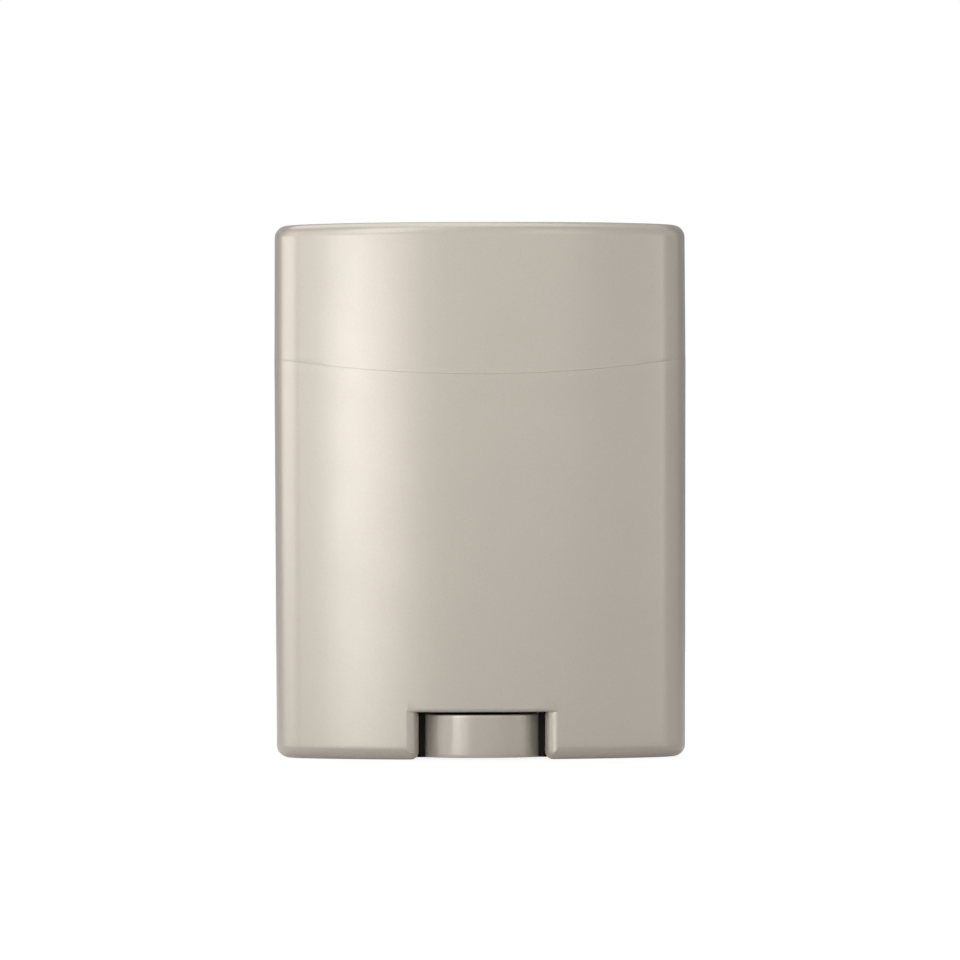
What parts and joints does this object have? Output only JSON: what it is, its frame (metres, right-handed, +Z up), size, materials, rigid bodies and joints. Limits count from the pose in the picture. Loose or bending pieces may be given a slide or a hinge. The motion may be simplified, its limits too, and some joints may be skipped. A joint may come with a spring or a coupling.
{
  "type": "sunscreen stick",
  "caption": "Flat oval twist-up stick container with a lift-off cap, a curved seam, and a dial that shows in a notch at the front and the back of the foot and raises the bar inside.",
  "frame": {"origin": "on the upright axis of the dial, at the plane that the feet stand on", "axes": "+Z up towards the cap, -Y out of the front face, +X along the width"},
  "size_m": [0.057, 0.023, 0.0739],
  "materials": {
    "champagne_paint": "satin champagne metallic paint on moulded ABS",
    "natural_plastic": "natural polypropylene, as moulded",
    "dark_plastic": "brown-black plastic, as moulded",
    "ivory_plastic": "ivory polypropylene, half gloss",
    "white_acetal": "white acetal, as moulded",
    "seal_rubber": "black seal rubber",
    "sunscreen_balm": "pale waxy balm with a soft sheen"
  },
  "bodies": {
    "body": {"body_shell": "champagne_paint", "base_housing": "dark_plastic", "inner_barrel": "ivory_plastic", "spindle_o_ring": "seal_rubber"},
    "cap": {"cap_shell": "champagne_paint", "cap_liner": "natural_plastic"},
    "dial": {"dial": "champagne_paint", "lead_screw": "white_acetal"},
    "bar": {"elevator": "natural_plastic", "sunscreen_bar": "sunscreen_balm"}
  },
  "joints": [
    {"name": "cap_lift", "type": "slide", "parent": "body", "child": "cap", "axis": [0, 0, 1], "range_m": [0, 0.03]},
    {"name": "dial_turn", "type": "hinge", "parent": "body", "child": "dial", "pos_m": [0, 0, 0.00034], "axis": [0, 0, 1], "range_deg": [0, 1980]},
    {"name": "bar_rise", "type": "slide", "parent": "body", "child": "bar", "axis": [0, 0, 1], "range_m": [0, 0.0165]}
  ],
  "couplings": [
    {"joint": "dial_turn", "follows": "bar_rise", "rad_per_m": 2094.4}
  ]
}
